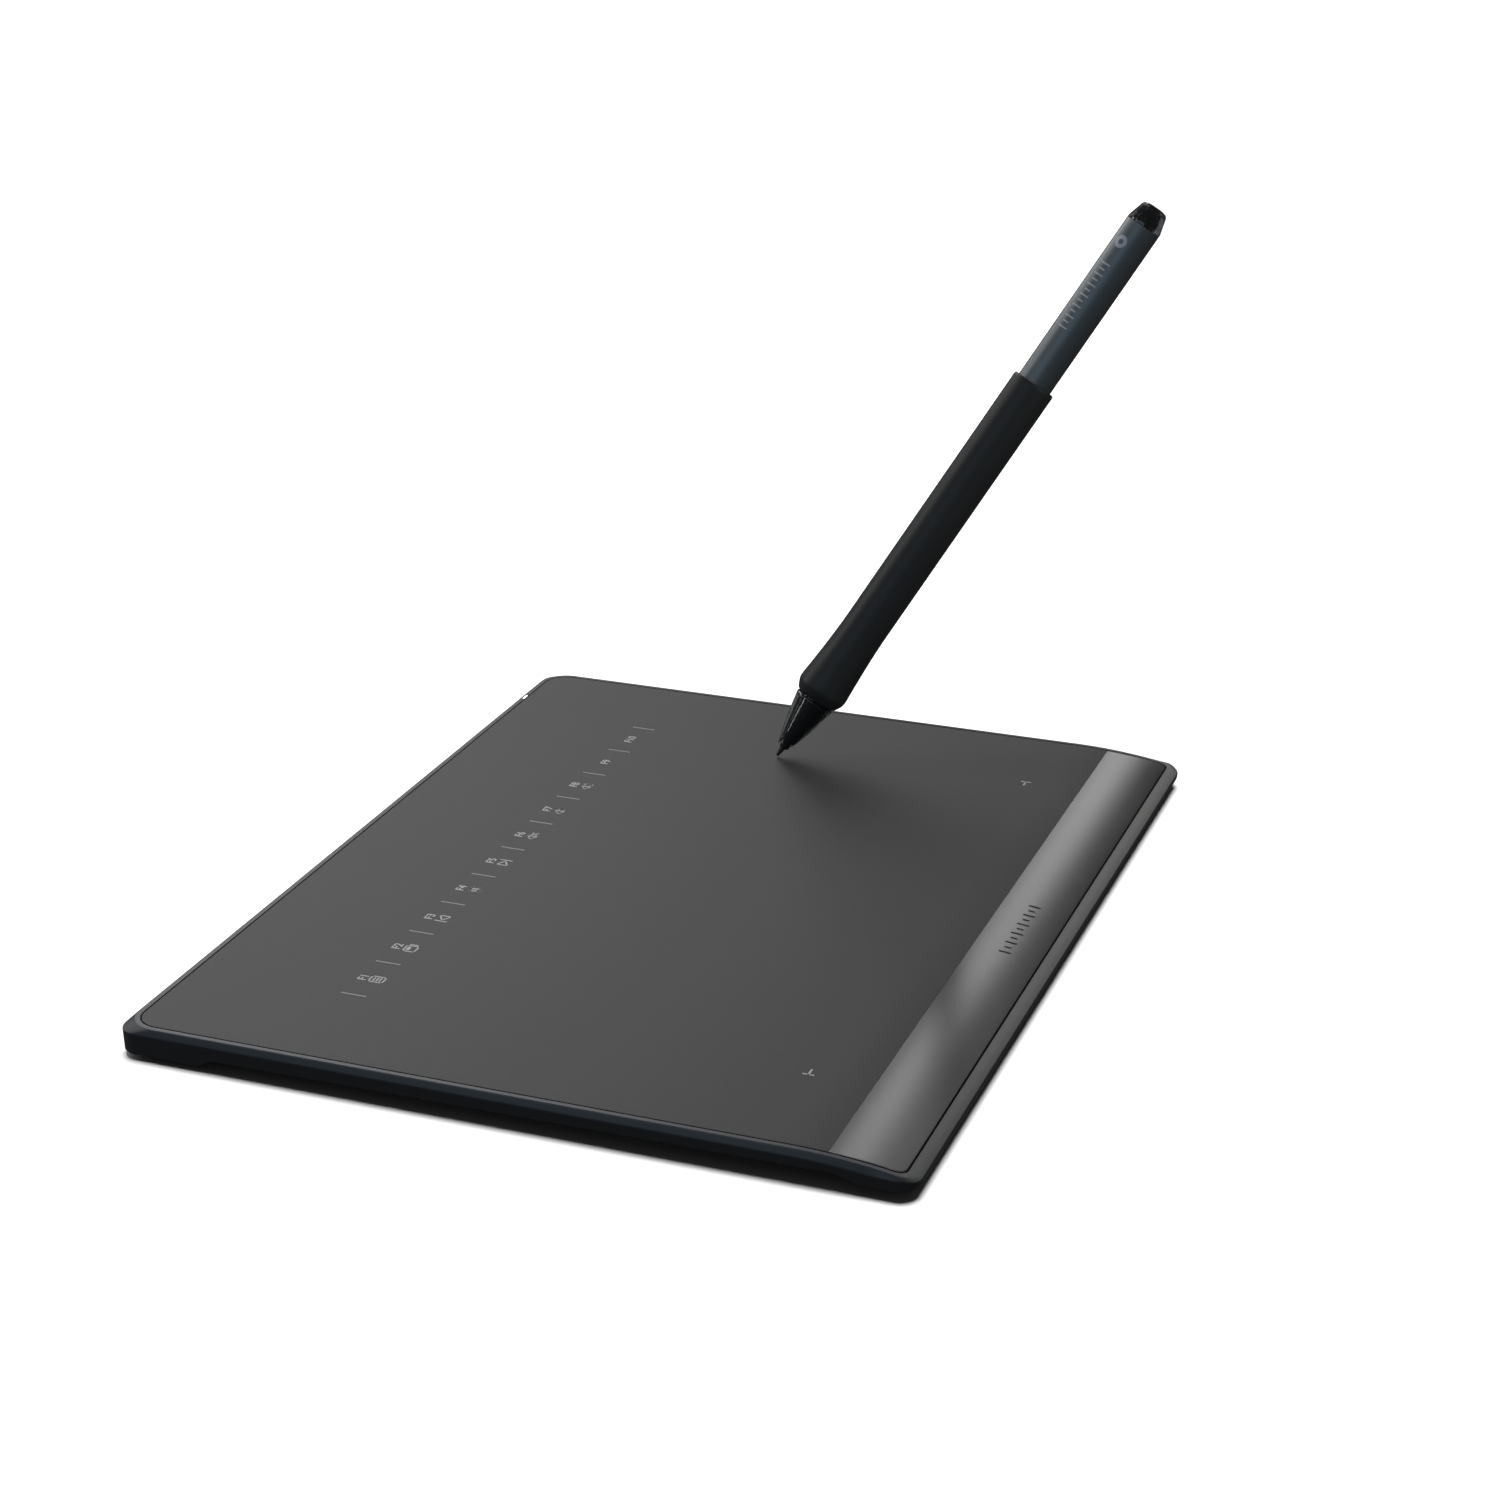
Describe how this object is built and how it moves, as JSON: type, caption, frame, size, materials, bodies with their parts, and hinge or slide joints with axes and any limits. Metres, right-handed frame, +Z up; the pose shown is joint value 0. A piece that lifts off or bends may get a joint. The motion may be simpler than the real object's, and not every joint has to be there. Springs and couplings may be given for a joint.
{
  "type": "pen drawing tablet",
  "caption": "Slim pen drawing tablet with a framed matt drawing surface, a satin band along the user's edge, touch keys along the back part, and a cordless pressure pen standing on it.",
  "frame": {"origin": "on the desk, under the middle of the box that holds the tablet and the leaning pen", "axes": "+Z up, +Y from the user towards the back edge, +X to the user's right"},
  "size_m": [0.2672, 0.1914, 0.157],
  "materials": {
    "case_plastic": "fine textured black-grey ABS, slightly satin on the chamfer",
    "drawing_sheet": "matt dark grey film with a fine paper-like tooth",
    "satin_band": "satin metallic grey paint",
    "cover_plastic": "fine textured black plastic",
    "foot_rubber": "matt black rubber",
    "screw_steel": "black zinc plated steel",
    "circuit_board": "green solder mask",
    "thin_steel": "bright stamped sheet",
    "dark_resin": "matt black moulded resin",
    "ribbon_film": "amber film",
    "light_pipe": "milky white clear plastic",
    "smoked_plastic": "clear smoked, high gloss",
    "nib_plastic": "matt black acetal",
    "soft_grip": "soft-touch matt black rubber",
    "barrel_paint": "satin blue-grey paint",
    "button_plastic": "satin black plastic",
    "ferrite": "dark sintered ferrite",
    "copper_wire": "enamelled copper winding"
  },
  "bodies": {
    "tablet": {"top_case": "case_plastic", "drawing_surface": "drawing_sheet", "front_band": "satin_band", "bottom_cover": "cover_plastic", "foot_back_left": "foot_rubber", "foot_back_right": "foot_rubber", "foot_front_left": "foot_rubber", "foot_front_right": "foot_rubber", "sensor_board": "circuit_board", "shield_plate": "thin_steel", "main_board": "circuit_board", "controller_chip": "dark_resin", "multiplexer_chip_left": "dark_resin", "multiplexer_chip_right": "dark_resin", "sensor_ribbon": "ribbon_film", "usb_c_shell": "thin_steel", "usb_c_tongue": "dark_resin", "led_light_pipe": "light_pipe", "status_led": "light_pipe", "case_screw_1": "screw_steel", "case_screw_2": "screw_steel", "case_screw_3": "screw_steel", "case_screw_4": "screw_steel", "case_screw_5": "screw_steel", "case_screw_6": "screw_steel"},
    "pen": {"nose_cone": "smoked_plastic", "inner_cone": "dark_resin", "ferrite_core": "ferrite", "pen_coil": "copper_wire", "pressure_sensor": "thin_steel", "barrel": "barrel_paint", "grip_sleeve": "soft_grip", "pen_chassis": "dark_resin", "pen_board": "circuit_board", "side_switch_lower": "thin_steel", "side_switch_upper": "thin_steel", "tail_cap": "smoked_plastic", "tail_plug": "dark_resin"},
    "nib": {"pen_nib": "nib_plastic", "nib_holder": "nib_plastic"},
    "lower_button": {"side_button_lower": "button_plastic"},
    "upper_button": {"side_button_upper": "button_plastic"}
  },
  "joints": [
    {"name": "pen_lift", "type": "slide", "parent": "tablet", "child": "pen", "axis": [0, 0, 1], "range_m": [0, 0.12]},
    {"name": "nib_press", "type": "slide", "parent": "pen", "child": "nib", "axis": [0.3306, -0.4739, 0.8161], "range_m": [0, 0.001], "stiffness_N_per_m": 2000},
    {"name": "lower_button_press", "type": "slide", "parent": "pen", "child": "lower_button", "axis": [-0.9407, -0.2357, 0.2442], "range_m": [0, 0.0005], "stiffness_N_per_m": 1500},
    {"name": "upper_button_press", "type": "slide", "parent": "pen", "child": "upper_button", "axis": [-0.9407, -0.2357, 0.2442], "range_m": [0, 0.0005], "stiffness_N_per_m": 1500}
  ]
}
